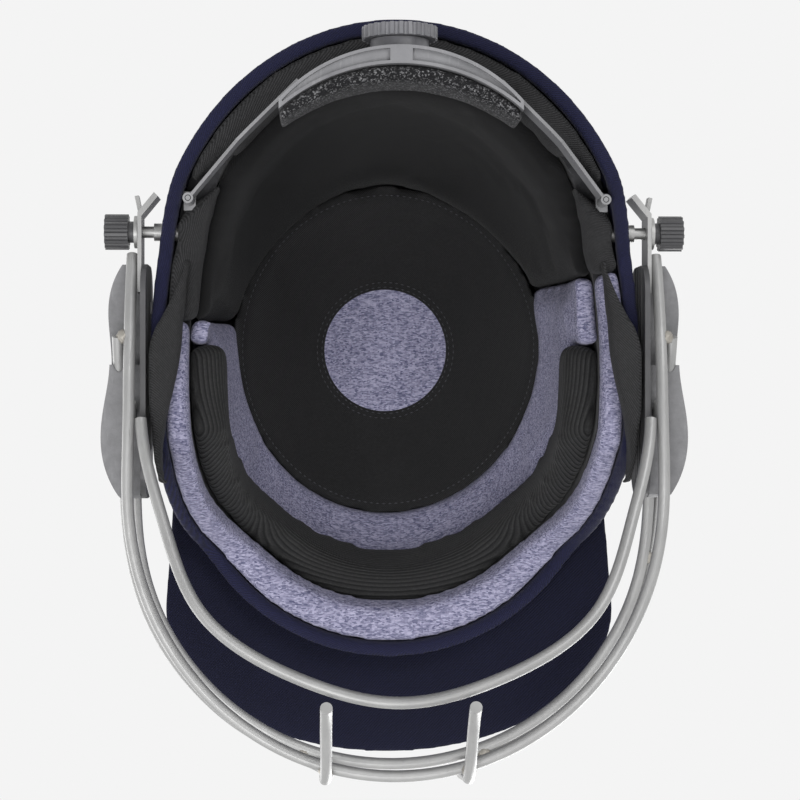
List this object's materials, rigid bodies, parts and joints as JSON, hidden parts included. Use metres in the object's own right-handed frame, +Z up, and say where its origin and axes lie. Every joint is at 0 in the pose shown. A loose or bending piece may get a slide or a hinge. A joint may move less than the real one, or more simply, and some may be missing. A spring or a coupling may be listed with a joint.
{
  "type": "cricket helmet",
  "caption": "Cricket batting helmet: cloth-covered hard shell with peak, padded liner, tilting steel wire face guard, ear guards and a dial size adjuster.",
  "frame": {"origin": "centre of the helmet's bounding box, on the surface that it stands on", "axes": "the wearer looks along -Y, +X is the wearer's left, +Z points up through the crown"},
  "size_m": [0.2508, 0.3236, 0.2248],
  "materials": {
    "navy_cloth": "plain woven cloth",
    "speckled_knit": "heather knit, pale lilac and navy",
    "black_twill": "twill weave",
    "black_mesh": "ribbed knit",
    "shell_plastic": "moulded",
    "impact_foam": "closed-cell foam",
    "speckled_foam": "open speckle",
    "satin_wire": "satin silver",
    "bright_steel": "bright",
    "grey_moulding": "fine grain",
    "black_moulding": "semi gloss",
    "dial_plastic": "fine grain",
    "strap_plastic": "smooth"
  },
  "bodies": {
    "helmet": {"cloth_cover": "navy_cloth", "rim_binding": "navy_cloth", "hard_shell": "shell_plastic", "foam_liner": "impact_foam", "brow_cushion": "speckled_knit", "rear_comfort_band": "black_twill", "side_band_left": "black_twill", "side_band_right": "black_twill", "sweatband": "black_mesh", "crown_pad": "black_twill", "crown_patch": "speckled_knit", "front_wall_pad": "speckled_knit", "rear_wall_pad": "black_twill", "side_pad_left": "black_twill", "side_pad_right": "black_twill", "peak_cover": "navy_cloth", "peak_board": "shell_plastic", "tee_nut_left": "bright_steel", "tee_nut_right": "bright_steel", "strap_anchor_left": "strap_plastic", "strap_anchor_right": "strap_plastic"},
    "face_guard": {"frame_bar": "satin_wire", "upper_bar": "satin_wire", "chin_bar": "satin_wire", "upright_left": "satin_wire", "upright_right": "satin_wire", "bracket_left": "satin_wire", "bracket_right": "satin_wire", "ear_guard_left": "grey_moulding", "ear_guard_right": "grey_moulding", "ear_inner_plate_left": "black_moulding", "ear_inner_plate_right": "black_moulding", "ear_guard_screws": "bright_steel"},
    "washer_left": {"thumb_washer_left": "bright_steel"},
    "washer_right": {"thumb_washer_right": "bright_steel"},
    "thumb_screw_left": {"thumb_knob_left": "black_moulding", "thumb_stud_left": "bright_steel"},
    "thumb_screw_right": {"thumb_knob_right": "black_moulding", "thumb_stud_right": "bright_steel"},
    "adjuster": {"cradle": "grey_moulding", "neck_foam": "speckled_foam", "dial_housing": "grey_moulding", "click_spring": "bright_steel"},
    "dial": {"dial_knob": "dial_plastic", "dial_ratchet": "dial_plastic", "dial_shaft": "bright_steel"},
    "strap_left": {"adjuster_strap_left": "strap_plastic"},
    "strap_right": {"adjuster_strap_right": "strap_plastic"}
  },
  "joints": [
    {"name": "face_guard_tilt", "type": "hinge", "parent": "helmet", "child": "face_guard", "pos_m": [0, 0.07475, 0.065], "axis": [1, 0, 0], "range_deg": [0, 12]},
    {"name": "screw_travel_left", "type": "slide", "parent": "helmet", "child": "washer_left", "axis": [1, 0, 0], "range_m": [0, 0.002]},
    {"name": "screw_turn_left", "type": "hinge", "parent": "washer_left", "child": "thumb_screw_left", "pos_m": [0.118, 0.07475, 0.065], "axis": [1, 0, 0], "range_deg": [0, 900]},
    {"name": "screw_travel_right", "type": "slide", "parent": "helmet", "child": "washer_right", "axis": [-1, 0, 0], "range_m": [0, 0.002]},
    {"name": "screw_turn_right", "type": "hinge", "parent": "washer_right", "child": "thumb_screw_right", "pos_m": [-0.118, 0.07475, 0.065], "axis": [-1, 0, 0], "range_deg": [0, 900]},
    {"name": "cradle_draw", "type": "slide", "parent": "helmet", "child": "adjuster", "axis": [0, -1, 0], "range_m": [0, 0.008]},
    {"name": "dial_turn", "type": "hinge", "parent": "adjuster", "child": "dial", "pos_m": [0, 0.15175, 0.018], "axis": [0, -1, 0], "range_deg": [0, 150]},
    {"name": "strap_swing_left", "type": "hinge", "parent": "helmet", "child": "strap_left", "pos_m": [0.0873, 0.08675, 0.042], "axis": [0, 0, 1], "range_deg": [0, 6.5]},
    {"name": "strap_swing_right", "type": "hinge", "parent": "helmet", "child": "strap_right", "pos_m": [-0.0873, 0.08675, 0.042], "axis": [0, 0, -1], "range_deg": [0, 6.5]}
  ],
  "couplings": [
    {"joint": "screw_turn_left", "follows": "screw_travel_left", "rad_per_m": 7853.9},
    {"joint": "screw_turn_right", "follows": "screw_travel_right", "rad_per_m": 7853.9},
    {"joint": "dial_turn", "follows": "cradle_draw", "rad_per_m": 327.2},
    {"joint": "strap_swing_left", "follows": "cradle_draw", "rad_per_m": 12.62},
    {"joint": "strap_swing_right", "follows": "cradle_draw", "rad_per_m": 12.62}
  ]
}
